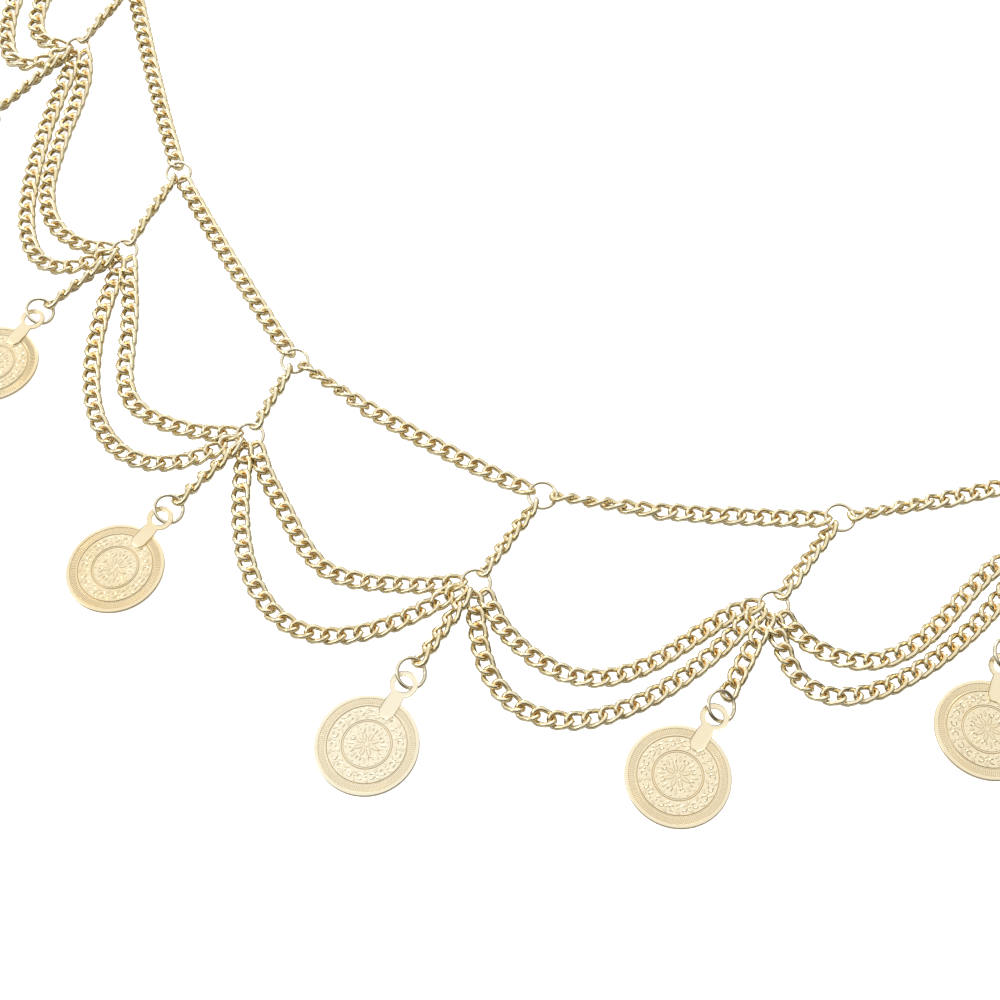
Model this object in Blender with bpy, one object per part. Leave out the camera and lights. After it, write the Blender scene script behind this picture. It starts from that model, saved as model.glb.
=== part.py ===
"""Coin body chain, laid flat: the CAD solids. Metres, +Z up, resting on z = 0.

A waist chain of curb links carries seven coin drops. In each, a short chain joins a ring in the waist
chain to a lower ring. The lower ring holds the doubled swags to its neighbours and a coin, which hangs
on a chain and a ring of its own. Places in the tables are millimetres on the table plane, x to the
right and y away from the viewer. The whole is moved at the end so that the world origin is the bottom
centre of its bounding box.
"""

import math
from typing import NamedTuple

import bmesh
import bpy
from mathutils import Vector

MM = 0.001
SEAM = 0.3

# Curb chain: one link to each pitch, as wide as a link lying flat
LINK_PITCH = 2.95
CHAIN_WIDTH = 3.4
CHAIN_THICKNESS = 1.8
WAIST_OF_LINK = 0.74
TURN_LINKS = 1.5
QUARTER_TURN = math.pi / 2

# Jump rings
RING_DIAMETER = 6.0
RING_WIRE = 0.7
RING_HEIGHT = 1.25
RING_REACH = RING_DIAMETER / 2 + SEAM
RING_SIDES = 5
RING_STEPS = 12

# Where two swags leave a ring together
STEM_LENGTH = 1.0
STEM_HALF_WIDTH = 1.45
STEM_HEIGHT = 2.9
STEM_OFF_COIN_CHAIN = 45.0
SWAG_TURNED_LINKS = 1.5

# Coins, measured from the middle of the eye in the tab
COIN_DIAMETER = 18.0
COIN_THICKNESS = 0.6
EYE_TO_COIN = 12.3
EYE_OUTER = 5.0
EYE_HOLE = 3.1
TAB_THICKNESS = 0.45
TAB_SINK = 0.1
TAB_STEM_WIDTH = 2.6
TAB_SHOULDER = 6.0
TAB_TIP = 6.9
EYE_HEIGHT = 1.7
EYE_TO_RING = 2.45
COIN_RING_TILT = -30.0

# Leads to the fastening
LEAD_LENGTH = 215.0
LEAD_RADIUS = 147.0
HOOK_WIRE = 1.0
HOOK_EYE_RADIUS = 1.6
HOOK_SHANK = 9.0
HOOK_BEND_RADIUS = 2.0
HOOK_RETURN = 4.0
CATCH_RING_DIAMETER = 7.0
CATCH_RING_WIRE = 0.9


class Unit(NamedTuple):
    """One coin drop: the middles of its three rings and the way its coin points, in degrees."""
    name: str
    top: tuple
    swag: tuple
    coin: tuple
    coin_bearing: float


class Span(NamedTuple):
    """One length of waist chain: its bow, and how many links stand on edge at each end."""
    bow: float
    turned_left: float
    turned_right: float


class Lane(NamedTuple):
    """One swag: how far it turns off the stem at each end, in degrees, and how far it is pulled out."""
    leave_turn: float
    leave_pull: float
    arrive_turn: float
    arrive_pull: float


UNITS = [
    Unit("1", (-89.0, 204.0), (-104.0, 184.0), (-119.6, 168.4), 225),
    Unit("2", (-89.8, 147.8), (-99.8, 125.4), (-116.5, 101.5), 238),
    Unit("3", (-70.9, 84.6), (-79.6, 61.7), (-94.5, 45.2), 240),
    Unit("4", (-41.2, 32.6), (-48.5, 14.4), (-62.0, -2.3), 235),
    Unit("5", (8.0, 0.9), (-4.4, -17.9), (-15.5, -35.7), 241),
    Unit("6", (63.5, -4.0), (49.2, -22.4), (38.1, -41.9), 236),
    Unit("7", (112.5, 8.5), (98.5, -12.0), (88.9, -32.2), 248),
]
SPANS = [
    Span(bow=3.0, turned_left=1.0, turned_right=1.0),
    Span(bow=0.5, turned_left=1.0, turned_right=1.5),
    Span(bow=0.5, turned_left=1.0, turned_right=1.5),
    Span(bow=1.5, turned_left=4.0, turned_right=1.0),
    Span(bow=1.3, turned_left=4.0, turned_right=2.0),
    Span(bow=1.0, turned_left=4.0, turned_right=1.0),
]
INNER_SWAGS = [
    Lane(20, 12.0, -30, 20.0),
    Lane(19, 14.4, -14, 29.0),
    Lane(14, 27.7, -14, 32.1),
    Lane(24, 31.3, -14, 28.8),
    Lane(18, 37.3, -14, 9.4),
    Lane(28, 28.9, -14, 9.9),
]
OUTER_SWAGS = [
    Lane(-46, 24.0, 36, 28.0),
    Lane(-26, 6.7, 31, 34.4),
    Lane(-14, 41.3, 31, 24.0),
    Lane(-14, 10.9, 22, 48.1),
    Lane(-14, 27.8, 32, 38.4),
    Lane(-14, 31.0, 49, 12.6),
]
LEFT_LEAD_HEADING = 75.0
RIGHT_LEAD_HEADING = 27.0


def polar(degrees, length=1.0):
    """Return the point at this bearing and distance."""
    angle = math.radians(degrees)
    return Vector((math.cos(angle), math.sin(angle), 0.0)) * length


def flat(place):
    """Return a table place as a vector."""
    return Vector((place[0], place[1], 0.0))


def bearing(start, end):
    """Return the bearing from one place to another, in degrees."""
    return math.degrees(math.atan2(end[1] - start[1], end[0] - start[0]))


def cubic_route(start, start_bearing, start_pull, end, end_bearing, end_pull, steps=96):
    """Return points along a curve that leaves both its ends outward along their bearings."""
    a, d = Vector(start), Vector(end)
    b, c = a + polar(start_bearing, start_pull), d + polar(end_bearing, end_pull)
    points = []
    for i in range(steps + 1):
        t = i / steps
        u = 1.0 - t
        points.append(a * u ** 3 + b * (3 * u * u * t) + c * (3 * u * t * t) + d * t ** 3)
    return points


def bowed_route(start, end, bow):
    """Return a route from ring to ring that bows to the right of its way by this much."""
    way, length = bearing(start, end), (flat(end) - flat(start)).length
    lean = math.degrees(4.0 * bow / length)
    leave, arrive = way - lean, way + 180.0 + lean
    first = flat(start) + polar(leave, RING_REACH)
    last = flat(end) + polar(arrive, RING_REACH)
    pull = (last - first).length / 3.0
    return cubic_route(first, leave, pull, last, arrive, pull)


def arc_route(start, heading, radius, length, side, steps=96):
    """Return an arc that starts outside a ring and turns left for side 1 or right for side -1."""
    centre = flat(start) + polar(heading + 90.0 * side, radius)
    begin = heading - 90.0 * side
    first = math.degrees(RING_REACH / radius)
    sweep = math.degrees(length / radius)
    turns = [first + sweep * i / steps for i in range(steps + 1)]
    return [centre + polar(begin + side * turn, radius) for turn in turns]


def link_stations(route):
    """Return equally spaced (point, direction) pairs, two to a link, ending between links."""
    lengths = [0.0]
    for a, b in zip(route, route[1:]):
        lengths.append(lengths[-1] + (b - a).length)
    links = max(1, round(lengths[-1] / LINK_PITCH))
    stations, piece = [], 0
    for i in range(2 * links + 1):
        goal = lengths[-1] * i / (2 * links)
        while piece < len(route) - 2 and lengths[piece + 1] < goal:
            piece += 1
        a, b = route[piece], route[piece + 1]
        along = (goal - lengths[piece]) / (lengths[piece + 1] - lengths[piece])
        stations.append((a.lerp(b, along), (b - a).normalized()))
    return stations


def roll_at(station, last_station, turned_start, turned_end):
    """Return how far a link stands up: a quarter turn on edge, 0 lying flat."""
    from_start = station / 2.0 - turned_start
    from_end = (last_station - station) / 2.0 - turned_end
    ease = min(1.0, max(0.0, min(from_start, from_end) / TURN_LINKS))
    return QUARTER_TURN * (1.0 - ease * ease * (3.0 - 2.0 * ease))


def link_section(point, direction, roll, is_waist):
    """Return the four corners of the chain's section, resting on the table."""
    side = Vector((-direction.y, direction.x, 0.0))
    up = Vector((0.0, 0.0, 1.0))
    broad = side * math.cos(roll) + up * math.sin(roll)
    thin = up * math.cos(roll) - side * math.sin(roll)
    half_width, half_thickness = CHAIN_WIDTH / 2, CHAIN_THICKNESS / 2
    height = half_width * math.sin(roll) + half_thickness * math.cos(roll)
    if is_waist:
        half_width *= WAIST_OF_LINK
        half_thickness *= 1.0 - (1.0 - WAIST_OF_LINK) * math.sin(roll) ** 2
    centre = Vector((point.x, point.y, height))
    corners = ((1, 1), (-1, 1), (-1, -1), (1, -1))
    return [centre + broad * half_width * a + thin * half_thickness * b for a, b in corners]


def chain_sections(route, turned_start, turned_end):
    """Return the sections of a chain along a route, from end to end."""
    stations = link_stations(route)
    last = len(stations) - 1
    sections = []
    for i, (point, direction) in enumerate(stations):
        roll = roll_at(i, last, turned_start, turned_end)
        sections.append(link_section(point, direction, roll, i % 2 == 0))
    return sections


def skin(bm, loops):
    """Join a list of equal loops of vertices with faces around their sides."""
    for near, far in zip(loops, loops[1:]):
        count = len(near)
        for i in range(count):
            j = (i + 1) % count
            bm.faces.new((near[i], near[j], far[j], far[i]))


def loop_of(bm, points):
    """Add one loop of vertices, given in millimetres."""
    return [bm.verts.new(point * MM) for point in points]


def finish_object(name, bm, material):
    """Turn a bmesh into a named object with outward faces."""
    bmesh.ops.recalc_face_normals(bm, faces=bm.faces[:])
    mesh = bpy.data.meshes.new(name)
    bm.to_mesh(mesh)
    bm.free()
    return place_mesh(name, mesh, material)


def place_mesh(name, mesh, material):
    """Link a mesh to the scene as a named object, under the part's empty."""
    if not mesh.materials:
        mesh.materials.append(material)
    obj = bpy.data.objects.new(name, mesh)
    bpy.context.scene.collection.objects.link(obj)
    obj.parent = bpy.data.objects["part_origin"]
    return obj


def make_material(name, colour, roughness):
    """Return a plain metal of this colour."""
    material = bpy.data.materials.new(name)
    material.use_nodes = True
    shader = material.node_tree.nodes["Principled BSDF"]
    shader.inputs["Base Color"].default_value = (*colour, 1.0)
    shader.inputs["Metallic"].default_value = 1.0
    shader.inputs["Roughness"].default_value = roughness
    return material


def build_chain(name, route, turned_start, turned_end, material):
    """Build one length of chain as a scalloped band that turns on edge at its ends."""
    bm = bmesh.new()
    loops = [loop_of(bm, section) for section in chain_sections(route, turned_start, turned_end)]
    skin(bm, loops)
    bm.faces.new(loops[0])
    bm.faces.new(loops[-1])
    return finish_object(name, bm, material)


def stem_points(ring, stem_bearing, distance, inner_side):
    """Return the six corners of a swag stem: outer side, middle and inner side, low then high."""
    centre = flat(ring) + polar(stem_bearing, distance)
    across = polar(stem_bearing + 90.0 * inner_side, STEM_HALF_WIDTH)
    up = Vector((0.0, 0.0, STEM_HEIGHT))
    low = [centre - across, centre, centre + across]
    return [low[0], low[1], low[2], low[2] + up, low[1] + up, low[0] + up]


def add_stem(bm, ring, stem_bearing, inner_side):
    """Add the short stem at a ring. Return the loops that its outer and inner swag start from."""
    cap = loop_of(bm, stem_points(ring, stem_bearing, RING_REACH, inner_side))
    fork = loop_of(bm, stem_points(ring, stem_bearing, RING_REACH + STEM_LENGTH, inner_side))
    skin(bm, [cap, fork])
    bm.faces.new(cap)
    outer = [fork[5], fork[0], fork[1], fork[4]]
    inner = [fork[4], fork[1], fork[2], fork[3]]
    return outer, inner


def swag_route(left, right, lane, side):
    """Return one swag's route, from the fork at its left ring to the fork at its right ring."""
    leave = bearing(left.swag, left.coin) + STEM_OFF_COIN_CHAIN
    arrive = bearing(right.swag, right.coin) - STEM_OFF_COIN_CHAIN
    reach, offset = RING_REACH + STEM_LENGTH, side * STEM_HALF_WIDTH / 2
    first = flat(left.swag) + polar(leave, reach) + polar(leave + 90.0, offset)
    last = flat(right.swag) + polar(arrive, reach) + polar(arrive - 90.0, offset)
    return cubic_route(first, leave + lane.leave_turn, lane.leave_pull,
                       last, arrive + lane.arrive_turn, lane.arrive_pull)


def build_swag_pair(name, left, right, inner_lane, outer_lane, material):
    """Build the inner and outer swag between two rings, which lie on each other at the rings."""
    bm = bmesh.new()
    leave = bearing(left.swag, left.coin) + STEM_OFF_COIN_CHAIN
    arrive = bearing(right.swag, right.coin) - STEM_OFF_COIN_CHAIN
    starts = add_stem(bm, left.swag, leave, 1)
    ends = add_stem(bm, right.swag, arrive, -1)
    lanes = ((outer_lane, -1), (inner_lane, 1))
    for (lane, side), start, end in zip(lanes, starts, ends):
        route = swag_route(left, right, lane, side)
        sections = chain_sections(route, SWAG_TURNED_LINKS, SWAG_TURNED_LINKS)
        middle = [loop_of(bm, section) for section in sections[1:-1]]
        skin(bm, [start, *middle, end])
    return finish_object(name, bm, material)


def build_ring(name, centre, height, tilt, turn, diameter, wire, material):
    """Build a round wire ring, tilted about its own x axis and then turned about the vertical."""
    bm = bmesh.new()
    radius = (diameter - wire) / 2
    around = [Vector((radius, 0.0, 0.0)) + Vector((math.cos(a), 0.0, math.sin(a))) * (wire / 2)
              for a in (math.tau * i / RING_SIDES for i in range(RING_SIDES))]
    verts = loop_of(bm, around)
    edges = [bm.edges.new((verts[i], verts[(i + 1) % RING_SIDES])) for i in range(RING_SIDES)]
    bmesh.ops.spin(bm, geom=verts + edges, cent=(0, 0, 0), axis=(0, 0, 1),
                   angle=math.tau, steps=RING_STEPS, use_merge=True)
    ring = finish_object(name, bm, material)
    ring.location = Vector((centre[0], centre[1], height)) * MM
    ring.rotation_euler = (math.radians(tilt), 0.0, math.radians(turn))
    return ring


def prism(outline, low, high):
    """Return a temporary object: an outline in millimetres, between two heights."""
    bm = bmesh.new()
    bottom = loop_of(bm, [Vector((x, y, low)) for x, y in outline])
    top = loop_of(bm, [Vector((x, y, high)) for x, y in outline])
    skin(bm, [bottom, top])
    bm.faces.new(bottom)
    bm.faces.new(top)
    bmesh.ops.recalc_face_normals(bm, faces=bm.faces[:])
    mesh = bpy.data.meshes.new("tool")
    bm.to_mesh(mesh)
    bm.free()
    obj = bpy.data.objects.new("tool", mesh)
    bpy.context.scene.collection.objects.link(obj)
    return obj


def circle(x, radius, count):
    """Return the points of a circle on the x axis."""
    angles = [math.tau * i / count for i in range(count)]
    return [(x + radius * math.cos(a), radius * math.sin(a)) for a in angles]


def coin_mesh(material):
    """Return the coin and its soldered tab as one mesh, with the middle of the eye at the origin."""
    half_tab, half_stem = TAB_THICKNESS / 2, TAB_STEM_WIDTH / 2
    face = TAB_SINK - half_tab
    disc = prism(circle(EYE_TO_COIN, COIN_DIAMETER / 2, 40), face - COIN_THICKNESS, face)
    eye = prism(circle(0.0, EYE_OUTER / 2, 20), -half_tab, half_tab)
    stem = prism([(1.0, -half_stem), (TAB_SHOULDER, -half_stem), (TAB_TIP, 0.0),
                  (TAB_SHOULDER, half_stem), (1.0, half_stem)], -half_tab, half_tab)
    hole = prism(circle(0.0, EYE_HOLE / 2, 16), -2.0, 2.0)
    for tool, operation in ((eye, "UNION"), (stem, "UNION"), (hole, "DIFFERENCE")):
        cut = disc.modifiers.new(operation.lower(), "BOOLEAN")
        cut.operation = operation
        cut.object = tool
    bpy.context.view_layer.update()
    graph = bpy.context.evaluated_depsgraph_get()
    mesh = bpy.data.meshes.new_from_object(disc.evaluated_get(graph))
    mesh.name = "coin"
    mesh.materials.clear()
    mesh.materials.append(material)
    for tool in (disc, eye, stem, hole):
        bpy.data.objects.remove(tool)
    return mesh


def coin_lean():
    """Return the angle at which a coin leans from its eye down to the table, in radians."""
    rim = EYE_TO_COIN + COIN_DIAMETER / 2
    below = TAB_THICKNESS / 2 - TAB_SINK + COIN_THICKNESS
    return math.asin((EYE_HEIGHT - below) / rim)


def build_coin(unit, mesh, material):
    """Place one coin with its eye around the coin ring's wire and its far rim on the table."""
    coin = place_mesh(f"coin_{unit.name}", mesh.copy(), material)
    eye = flat(unit.coin) + polar(unit.coin_bearing, EYE_TO_RING)
    coin.location = Vector((eye.x, eye.y, EYE_HEIGHT)) * MM
    coin.rotation_euler = (0.0, coin_lean(), math.radians(unit.coin_bearing))
    return coin


def build_unit(unit, coin, chain_gold, ring_gold, coin_gold):
    """Build one coin drop: three rings, two short chains and the coin."""
    level = (RING_HEIGHT, 0.0, 0.0, RING_DIAMETER, RING_WIRE, ring_gold)
    build_ring(f"ring_top_{unit.name}", unit.top, *level)
    build_ring(f"ring_swag_{unit.name}", unit.swag, *level)
    build_ring(f"ring_coin_{unit.name}", unit.coin, EYE_HEIGHT, COIN_RING_TILT, unit.coin_bearing,
               RING_DIAMETER, RING_WIRE, ring_gold)
    on_edge = 99.0
    build_chain(f"drop_chain_{unit.name}", bowed_route(unit.top, unit.swag, 0.0),
                on_edge, on_edge, chain_gold)
    build_chain(f"coin_chain_{unit.name}", bowed_route(unit.swag, unit.coin, 0.0),
                on_edge, on_edge, chain_gold)
    build_coin(unit, coin, coin_gold)


def hook_points():
    """Return the middle line of the hook: its eye about the origin, its shank and its bend."""
    start, stop, steps = 55.0, 325.0, 14
    points = [polar(start + (stop - start) * i / steps, HOOK_EYE_RADIUS) for i in range(steps + 1)]
    points.append(Vector((HOOK_EYE_RADIUS + 0.6, 0.0, 0.0)))
    bend = Vector((HOOK_SHANK, HOOK_BEND_RADIUS, 0.0))
    points += [bend + polar(-90.0 + 180.0 * i / 10, HOOK_BEND_RADIUS) for i in range(11)]
    back = bend.x - HOOK_RETURN
    points.append(Vector((back, 2 * HOOK_BEND_RADIUS, 0.0)))
    points.append(Vector((back - 0.9, 2 * HOOK_BEND_RADIUS + 0.6, 0.0)))
    return points


def build_hook(route, material):
    """Build the wire hook past the end of a lead, lying flat."""
    curve = bpy.data.curves.new("hook", "CURVE")
    curve.dimensions = "3D"
    curve.bevel_depth = HOOK_WIRE / 2 * MM
    curve.bevel_resolution = 2
    curve.use_fill_caps = True
    points = hook_points()
    spline = curve.splines.new("POLY")
    spline.points.add(len(points) - 1)
    for slot, point in zip(spline.points, points):
        slot.co = (*(point * MM), 1.0)
    hook = place_mesh("hook", curve, material)
    way = (route[-1] - route[-2]).normalized()
    place = route[-1] + way * (SEAM + HOOK_EYE_RADIUS + HOOK_WIRE / 2)
    hook.location = Vector((place.x, place.y, HOOK_WIRE / 2)) * MM
    hook.rotation_euler = (0.0, 0.0, math.atan2(way.y, way.x))


def build_leads(chain_gold, ring_gold, hook_gold):
    """Build the plain chain at each end, with the hook on the left one and a ring on the right one."""
    left = arc_route(UNITS[0].top, LEFT_LEAD_HEADING, LEAD_RADIUS, LEAD_LENGTH, -1)
    right = arc_route(UNITS[-1].top, RIGHT_LEAD_HEADING, LEAD_RADIUS, LEAD_LENGTH, 1)
    build_chain("waist_chain_left", left, 1.0, 1.0, chain_gold)
    build_chain("waist_chain_right", right, 4.0, 1.0, chain_gold)
    build_hook(left, hook_gold)
    way = (right[-1] - right[-2]).normalized()
    place = right[-1] + way * (SEAM + CATCH_RING_DIAMETER / 2)
    build_ring("ring_catch", place, CATCH_RING_WIRE / 2, 0.0, 0.0,
               CATCH_RING_DIAMETER, CATCH_RING_WIRE, ring_gold)


def centre_part(empty):
    """Move the whole so that the world origin is the bottom centre of its bounding box."""
    bpy.context.view_layer.update()
    graph = bpy.context.evaluated_depsgraph_get()
    corners = []
    for obj in bpy.context.scene.objects:
        if obj.type == "EMPTY":
            continue
        solid = obj.evaluated_get(graph)
        mesh = solid.to_mesh()
        corners += [solid.matrix_world @ vertex.co for vertex in mesh.vertices]
        solid.to_mesh_clear()
    low = [min(corner[i] for corner in corners) for i in range(3)]
    high = [max(corner[i] for corner in corners) for i in range(3)]
    empty.location = (-(low[0] + high[0]) / 2, -(low[1] + high[1]) / 2, -low[2])
    bpy.context.view_layer.update()


def main():
    """Build the whole coin body chain."""
    for obj in list(bpy.data.objects):
        bpy.data.objects.remove(obj)
    empty = bpy.data.objects.new("part_origin", None)
    bpy.context.scene.collection.objects.link(empty)
    chain_gold = make_material("chain_gold", (0.80, 0.60, 0.28), 0.22)
    ring_gold = make_material("ring_gold", (0.86, 0.72, 0.45), 0.18)
    coin_gold = make_material("coin_gold", (0.88, 0.70, 0.46), 0.34)
    hook_gold = make_material("hook_gold", (0.82, 0.64, 0.32), 0.20)
    coin = coin_mesh(coin_gold)
    for unit in UNITS:
        build_unit(unit, coin, chain_gold, ring_gold, coin_gold)
    for i, (left, right, span) in enumerate(zip(UNITS, UNITS[1:], SPANS)):
        build_chain(f"waist_chain_{i + 1}", bowed_route(left.top, right.top, span.bow),
                    span.turned_left, span.turned_right, chain_gold)
        build_swag_pair(f"swag_pair_{i + 1}", left, right, INNER_SWAGS[i], OUTER_SWAGS[i], chain_gold)
    build_leads(chain_gold, ring_gold, hook_gold)
    centre_part(empty)


main()
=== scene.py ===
"""Coin body chain: the dressed model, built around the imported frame.

Each node of the frame is replaced by the piece a maker would make: lengths of curb chain whose links
pass through each other and through the jump rings, wire rings with a cut, struck coins with a
soldered tab, and a bent wire hook. Sizes are in millimetres and places are millimetres on the table,
x to the right and y away from the viewer. Masters are modelled in millimetres and brought to metres
when they are placed.
"""

from __future__ import annotations

import logging
import math
import random
from dataclasses import dataclass, field
from enum import Enum
from typing import NamedTuple, Sequence

import bpy
from mathutils import Euler, Matrix, Vector


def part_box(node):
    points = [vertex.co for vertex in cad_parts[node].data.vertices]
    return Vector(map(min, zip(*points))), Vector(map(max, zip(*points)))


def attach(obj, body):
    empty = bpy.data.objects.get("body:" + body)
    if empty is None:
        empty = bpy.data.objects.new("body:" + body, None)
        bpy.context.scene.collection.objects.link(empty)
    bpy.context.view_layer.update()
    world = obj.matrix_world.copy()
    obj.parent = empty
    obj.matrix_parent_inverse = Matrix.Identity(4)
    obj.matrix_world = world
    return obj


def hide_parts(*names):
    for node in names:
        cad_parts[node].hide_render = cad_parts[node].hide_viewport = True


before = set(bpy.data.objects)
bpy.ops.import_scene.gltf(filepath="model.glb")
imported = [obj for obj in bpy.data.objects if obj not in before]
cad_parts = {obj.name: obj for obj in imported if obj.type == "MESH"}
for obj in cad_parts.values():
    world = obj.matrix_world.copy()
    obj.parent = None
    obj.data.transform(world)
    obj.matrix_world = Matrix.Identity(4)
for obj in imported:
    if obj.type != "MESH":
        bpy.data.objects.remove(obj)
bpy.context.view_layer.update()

LOG = logging.getLogger("coin_body_chain")
MM = 0.001
QUARTER_TURN = math.pi / 2
Colour = tuple[float, float, float]
Place = tuple[float, float]
Piece = bpy.types.Object
Socket = bpy.types.NodeSocket

# Places shared with the frame
RING_DIAMETER = 6.0
RING_WIRE = 0.7
RING_REACH = 3.3
STEM_LENGTH = 1.0
STEM_HALF_WIDTH = 1.45
STEM_OFF_COIN_CHAIN = 45.0
COIN_DIAMETER = 18.0
COIN_THICKNESS = 0.6
EYE_TO_COIN = 12.3
EYE_OUTER = 5.0
EYE_HOLE = 3.1
TAB_THICKNESS = 0.45
TAB_SINK = 0.1
EYE_HEIGHT = 1.7
EYE_TO_RING = 2.45
SEAM_GAP = 0.3
LEAD_LENGTH = 215.0
LEAD_RADIUS = 147.0
LEFT_LEAD_HEADING = 75.0
RIGHT_LEAD_HEADING = 27.0


class Unit(NamedTuple):
    """One coin drop: its three rings' middles, the way its coin points, and its chain's leaning links."""

    name: str
    top: Place
    swag: Place
    coin: Place
    coin_bearing: float
    coin_chain_turned: float


class Span(NamedTuple):
    """One length of waist chain: its bow, and how many links keep their full lean at each end.

    A number below zero means that even the first link has begun to lie down.
    """

    bow: float
    turned_left: float
    turned_right: float


class Lane(NamedTuple):
    """One swag: how far it turns off the stem at each end, in degrees, and how far it is pulled out."""

    leave_turn: float
    leave_pull: float
    arrive_turn: float
    arrive_pull: float


class Spot(NamedTuple):
    """One struck shape: its distance out, bearing, turn from outward, length and breadth."""

    out: float
    at: float
    turn: float
    length: float
    breadth: float


# More links than any length has, so that all of them lean
ON_EDGE = 99.0
UNITS = [
    Unit("1", (-89.0, 204.0), (-104.0, 184.0), (-119.6, 168.4), 225, ON_EDGE),
    Unit("2", (-89.8, 147.8), (-99.8, 125.4), (-116.5, 101.5), 238, ON_EDGE),
    Unit("3", (-70.9, 84.6), (-79.6, 61.7), (-94.5, 45.2), 240, ON_EDGE),
    Unit("4", (-41.2, 32.6), (-48.5, 14.4), (-62.0, -2.3), 235, ON_EDGE),
    Unit("5", (8.0, 0.9), (-4.4, -17.9), (-15.5, -35.7), 241, ON_EDGE),
    Unit("6", (63.5, -4.0), (49.2, -22.4), (38.1, -41.9), 236, -1.4),
    Unit("7", (112.5, 8.5), (98.5, -12.0), (88.9, -32.2), 248, ON_EDGE),
]
SPANS = [
    Span(bow=3.0, turned_left=-5.0, turned_right=-3.5),
    Span(bow=0.5, turned_left=-5.0, turned_right=-3.5),
    Span(bow=0.5, turned_left=-5.0, turned_right=-3.5),
    Span(bow=1.5, turned_left=1.5, turned_right=-4.0),
    Span(bow=1.3, turned_left=2.0, turned_right=-4.0),
    Span(bow=1.0, turned_left=1.5, turned_right=-4.0),
]
INNER_SWAGS = [
    Lane(20, 12.0, -30, 20.0),
    Lane(19, 14.4, -14, 29.0),
    Lane(14, 27.7, -14, 32.1),
    Lane(24, 31.3, -14, 28.8),
    Lane(18, 37.3, -14, 9.4),
    Lane(28, 28.9, -14, 9.9),
]
OUTER_SWAGS = [
    Lane(-46, 24.0, 36, 28.0),
    Lane(-26, 6.7, 31, 34.4),
    Lane(-14, 41.3, 31, 24.0),
    Lane(-14, 10.9, 22, 48.1),
    Lane(-14, 27.8, 32, 38.4),
    Lane(-14, 31.0, 49, 12.6),
]


class Side(Enum):
    """Which of a pair of swags: the inner one hangs nearer the waist chain."""

    INNER = 1
    OUTER = -1


class Slot(Enum):
    """The record's material slots."""

    CHAIN = "chain_gold"
    RING = "ring_gold"
    COIN = "coin_gold"
    HOOK = "hook_gold"


def polar(degrees: float, length: float = 1.0) -> Vector:
    """Return the point at this bearing and distance."""
    angle = math.radians(degrees)
    return Vector((math.cos(angle), math.sin(angle), 0.0)) * length


def flat(place: Sequence[float]) -> Vector:
    """Return a table place as a vector."""
    return Vector((place[0], place[1], 0.0))


def bearing(start: Sequence[float], end: Sequence[float]) -> float:
    """Return the bearing from one place to another, in degrees."""
    return math.degrees(math.atan2(end[1] - start[1], end[0] - start[0]))


def table_origin() -> Vector:
    """Return where the table's zero place is in the frame, in metres, read from one ring's box."""
    low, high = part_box("ring_top_5")
    middle = (low + high) / 2
    ring = flat(UNITS[4].top) * MM
    return Vector((middle.x - ring.x, middle.y - ring.y, 0.0))


ORIGIN = table_origin()


def to_frame(point: Vector) -> Vector:
    """Return a table point, in millimetres, as a point of the frame, in metres."""
    return ORIGIN + point * MM


@dataclass(frozen=True)
class PitchRule:
    """The pitch of the chain by distance away, in millimetres: the photo shows it longer to the back."""

    middle: float = 3.13
    front_slope: float = 0.0053
    back_slope: float = 0.0012
    back_growth: float = 0.000028
    nearest: float = -60.0
    farthest: float = 150.0

    def at(self, away: float) -> float:
        """Return the pitch at this distance away."""
        away = max(self.nearest, min(self.farthest, away))
        if away < 0.0:
            return self.middle + self.front_slope * away
        return self.middle + self.back_slope * away + self.back_growth * away * away


PITCH = PitchRule()


def deselect() -> None:
    """Clear the selection, so that the next operator acts on its own piece alone."""
    bpy.ops.object.select_all(action="DESELECT")


def activate(piece: Piece) -> None:
    """Select one object alone and make it active."""
    deselect()
    piece.select_set(True)
    bpy.context.view_layer.objects.active = piece


def edit_all() -> None:
    """Go to edit mode with all of the active piece selected."""
    bpy.ops.object.mode_set(mode="EDIT")
    bpy.ops.mesh.select_all(action="SELECT")


def start_circle(sides: int, radius: float, place: Sequence[float] = (0.0, 0.0, 0.0),
                 turn: Sequence[float] = (0.0, 0.0, 0.0), fill: str = "NGON") -> Piece:
    """Start a piece from one circle, and leave it in edit mode.

    Args:
        sides: how many vertices it has.
        radius: its radius, in millimetres.
        place: its middle.
        turn: its rotation about each axis, in radians.
        fill: NGON for a filled disc, NOTHING for the bare loop.

    Returns:
        The piece, with its object at the origin.
    """
    deselect()
    bpy.ops.mesh.primitive_circle_add(
        vertices=sides, radius=radius, fill_type=fill, location=place, rotation=turn)
    bpy.ops.object.transform_apply(location=True, rotation=True, scale=True)
    piece = bpy.context.object
    edit_all()
    return piece


def draw_out(x: float, z: float = 0.0) -> None:
    """Extrude the selection along x, or upward by z."""
    bpy.ops.mesh.extrude_region_move(TRANSFORM_OT_translate={"value": (x, 0.0, z)})


def weld(threshold: float = 0.001) -> None:
    """Merge the vertices that lie on each other."""
    bpy.ops.mesh.select_all(action="SELECT")
    bpy.ops.mesh.remove_doubles(threshold=threshold)


def bend_round(centre: Sequence[float], degrees: float, steps: int) -> None:
    """Sweep the selected end of a wire around an upright axis, to the left for a positive angle."""
    bpy.ops.mesh.spin(steps=steps, angle=math.radians(degrees), center=tuple(centre), axis=(0.0, 0.0, -1.0))


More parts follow.
